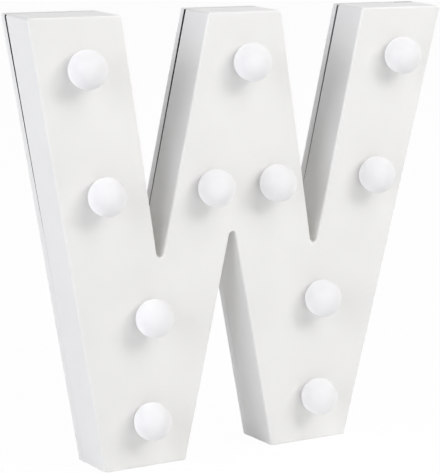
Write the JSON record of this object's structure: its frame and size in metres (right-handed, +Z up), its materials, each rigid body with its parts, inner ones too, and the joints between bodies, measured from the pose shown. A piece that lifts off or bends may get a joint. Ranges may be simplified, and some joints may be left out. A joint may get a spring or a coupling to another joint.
{
  "type": "light-up letter",
  "caption": "Free-standing capital letter W: a hollow moulded casing with frosted globe bulbs on its face, a seamed back cover with keyhole, slide switch and hinged battery door.",
  "frame": {"origin": "centre of the footprint of the whole part, on the plane that the feet stand on", "axes": "+X to the right as seen from the front, +Y from the bulbs to the back, +Z up"},
  "size_m": [0.242, 0.0404, 0.22],
  "materials": {
    "casing_white": "fine matte moulded plastic, warm white",
    "globe_frost": "frosted translucent plastic, cool white, not lit",
    "led_epoxy": "clear cast resin",
    "socket_plastic": "moulded plastic",
    "flex_white": "soft plastic sleeve",
    "lead_red": "red plastic sleeve",
    "lead_black": "black plastic sleeve",
    "cell_wrap": "plain film over a metal can",
    "contact_nickel": "nickel plated",
    "switch_steel": "zinc plated",
    "switch_board": "hard paper board",
    "switch_brass": "bare",
    "knob_black": "moulded black",
    "screw_steel": "zinc plated"
  },
  "bodies": {
    "letter": {"front_shell": "casing_white", "back_cover": "casing_white", "cover_screws": "screw_steel", "cell_upper": "cell_wrap", "cell_lower": "cell_wrap", "contact_positive": "contact_nickel", "contact_negative": "contact_nickel", "contact_bridge": "contact_nickel", "spring_upper": "contact_nickel", "spring_lower": "contact_nickel", "lead_positive": "lead_red", "lead_switched": "lead_red", "lead_negative": "lead_black", "led_flex": "flex_white", "switch_frame": "switch_steel", "switch_base": "switch_board", "switch_terminals": "switch_brass", "bulb_01": "globe_frost", "bulb_02": "globe_frost", "bulb_03": "globe_frost", "bulb_04": "globe_frost", "bulb_05": "globe_frost", "bulb_06": "globe_frost", "bulb_07": "globe_frost", "bulb_08": "globe_frost", "bulb_09": "globe_frost", "bulb_10": "globe_frost", "bulb_11": "globe_frost", "led_01": "led_epoxy", "led_02": "led_epoxy", "led_03": "led_epoxy", "led_04": "led_epoxy", "led_05": "led_epoxy", "led_06": "led_epoxy", "led_07": "led_epoxy", "led_08": "led_epoxy", "led_09": "led_epoxy", "led_10": "led_epoxy", "led_11": "led_epoxy", "socket_01": "socket_plastic", "socket_02": "socket_plastic", "socket_03": "socket_plastic", "socket_04": "socket_plastic", "socket_05": "socket_plastic", "socket_06": "socket_plastic", "socket_07": "socket_plastic", "socket_08": "socket_plastic", "socket_09": "socket_plastic", "socket_10": "socket_plastic", "socket_11": "socket_plastic"},
    "battery_door": {"battery_door": "casing_white"},
    "switch_slider": {"switch_slider": "knob_black", "switch_wiper": "switch_brass"}
  },
  "joints": [
    {"name": "battery_door_hinge", "type": "hinge", "parent": "letter", "child": "battery_door", "pos_m": [-0.05012, 0.01937, 0.062], "axis": [1, 0, 0], "range_deg": [0, 75]},
    {"name": "switch_slide", "type": "slide", "parent": "letter", "child": "switch_slider", "axis": [1, 0, 0], "range_m": [0, 0.004]}
  ]
}
